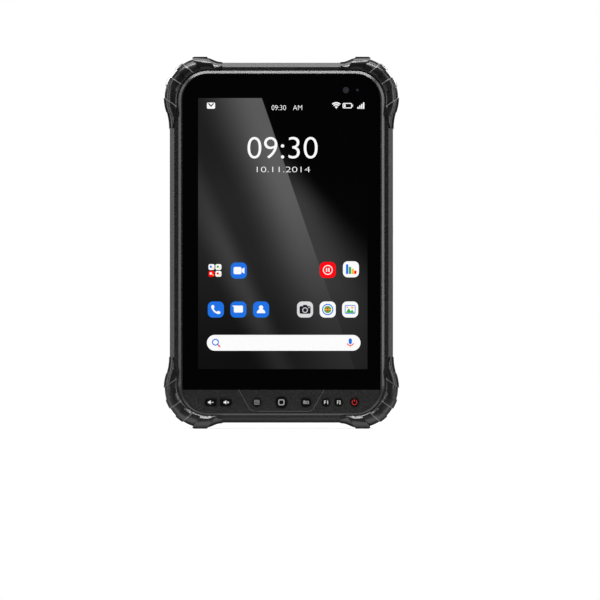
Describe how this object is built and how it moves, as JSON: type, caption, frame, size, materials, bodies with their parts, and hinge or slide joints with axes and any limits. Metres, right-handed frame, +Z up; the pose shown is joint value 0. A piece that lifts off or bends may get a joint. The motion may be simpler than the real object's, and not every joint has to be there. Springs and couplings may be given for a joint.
{
  "type": "data collector",
  "caption": "Rugged handheld tablet data collector with a large touch display, a row of hard keys under it, rubber corner bumpers, side doors over its sockets and a threaded bracket pattern.",
  "frame": {"origin": "middle of the footprint, between the lowest faces of the two lower bumpers", "axes": "+Z up along the tablet's height, +X to the user's right, the display faces -Y"},
  "size_m": [0.1496, 0.0244, 0.2367],
  "materials": {
    "housing": "fine spark-eroded texture, satin sheen",
    "housing_back": "fine spark-eroded texture",
    "bumper": "fine leather-like grain",
    "glass": "polished, black printed border behind it",
    "adhesive": "matt foam tape",
    "lcd": "lit display",
    "backlight": "pressed steel tray",
    "key": "satin black with printed sign",
    "membrane": "silicone",
    "switch": "tact switch cans",
    "board": "green solder mask",
    "chips": "moulded chips",
    "shield": "tin-plated shield cans",
    "chassis": "die-cast magnesium-aluminium plate",
    "battery": "wrapped lithium cell pack",
    "flex": "polyimide flat cable",
    "screw": "black zinc steel",
    "board_screw": "zinc steel",
    "brass": "knurled threaded inserts",
    "door": "stiff moulded rubber on a plastic core",
    "pin": "stainless pin",
    "socket": "stamped shell",
    "card": "memory card",
    "dock": "glass-filled nylon block",
    "contact": "gold-plated contacts",
    "camera": "black lens module",
    "ring": "anodised ring",
    "window": "coated cover window",
    "lens": "frosted flash lens",
    "mesh": "woven steel mesh",
    "speaker": "sealed speaker box",
    "ceramic": "ceramic patch with silver face",
    "motor": "drawn steel can",
    "weight": "tungsten weight on a steel shaft"
  },
  "bodies": {
    "tablet": {"front_housing": "housing", "rear_housing": "housing_back", "housing_seal": "membrane", "bumper_top_left": "bumper", "bumper_top_right": "bumper", "bumper_bottom_left": "bumper", "bumper_bottom_right": "bumper", "display_glass": "glass", "glass_adhesive": "adhesive", "lcd_panel": "lcd", "lcd_backlight": "backlight", "front_camera": "camera", "light_sensor": "chips", "keypad_membrane": "membrane", "key_switches": "switch", "key_board": "board", "chassis_frame": "chassis", "main_board": "board", "board_components": "chips", "board_shields": "shield", "battery_pack": "battery", "battery_flex": "flex", "keypad_flex": "flex", "display_flex": "flex", "housing_screws": "screw", "bumper_screws": "screw", "board_screws": "board_screw", "bracket_inserts": "brass", "port_door_pin": "pin", "card_door_pin": "pin", "port_board": "board", "usb_socket": "socket", "audio_socket": "dock", "card_socket": "socket", "memory_card": "card", "dock_connector": "dock", "dock_contacts": "contact", "rear_camera": "camera", "rear_camera_ring": "ring", "rear_camera_window": "window", "flash_lens": "lens", "flash_led": "board", "speaker_mesh": "mesh", "speaker_box": "speaker", "gnss_antenna": "ceramic", "wifi_antenna": "flex", "vibration_motor": "motor"},
    "key_volume_down": {"key_volume_down": "key"},
    "key_volume_up": {"key_volume_up": "key"},
    "key_menu": {"key_menu": "key"},
    "key_home": {"key_home": "key"},
    "key_back": {"key_back": "key"},
    "key_f1": {"key_f1": "key"},
    "key_f2": {"key_f2": "key"},
    "key_power": {"key_power": "key"},
    "port_door": {"port_door": "door"},
    "card_door": {"card_door": "door"},
    "motor_rotor": {"motor_rotor": "weight"}
  },
  "joints": [
    {"name": "press_volume_down", "type": "slide", "parent": "tablet", "child": "key_volume_down", "axis": [0, 1, 0], "range_m": [0, 0.0005], "stiffness_N_per_m": 1000, "springref_m": -0.0005},
    {"name": "press_volume_up", "type": "slide", "parent": "tablet", "child": "key_volume_up", "axis": [0, 1, 0], "range_m": [0, 0.0005], "stiffness_N_per_m": 1000, "springref_m": -0.0005},
    {"name": "press_menu", "type": "slide", "parent": "tablet", "child": "key_menu", "axis": [0, 1, 0], "range_m": [0, 0.0005], "stiffness_N_per_m": 1000, "springref_m": -0.0005},
    {"name": "press_home", "type": "slide", "parent": "tablet", "child": "key_home", "axis": [0, 1, 0], "range_m": [0, 0.0005], "stiffness_N_per_m": 1000, "springref_m": -0.0005},
    {"name": "press_back", "type": "slide", "parent": "tablet", "child": "key_back", "axis": [0, 1, 0], "range_m": [0, 0.0005], "stiffness_N_per_m": 1000, "springref_m": -0.0005},
    {"name": "press_f1", "type": "slide", "parent": "tablet", "child": "key_f1", "axis": [0, 1, 0], "range_m": [0, 0.0005], "stiffness_N_per_m": 1000, "springref_m": -0.0005},
    {"name": "press_f2", "type": "slide", "parent": "tablet", "child": "key_f2", "axis": [0, 1, 0], "range_m": [0, 0.0005], "stiffness_N_per_m": 1000, "springref_m": -0.0005},
    {"name": "press_power", "type": "slide", "parent": "tablet", "child": "key_power", "axis": [0, 1, 0], "range_m": [0, 0.0005], "stiffness_N_per_m": 1000, "springref_m": -0.0005},
    {"name": "port_door_hinge", "type": "hinge", "parent": "tablet", "child": "port_door", "pos_m": [0.07025, 0.0042, 0.09275], "axis": [0, 1, 0], "range_deg": [0, 110]},
    {"name": "card_door_hinge", "type": "hinge", "parent": "tablet", "child": "card_door", "pos_m": [-0.07025, 0.0042, 0.09275], "axis": [0, -1, 0], "range_deg": [0, 110]},
    {"name": "motor_spin", "type": "hinge", "parent": "tablet", "child": "motor_rotor", "pos_m": [-0.04, 0.005, 0.204], "axis": [1, 0, 0], "continuous": true}
  ]
}
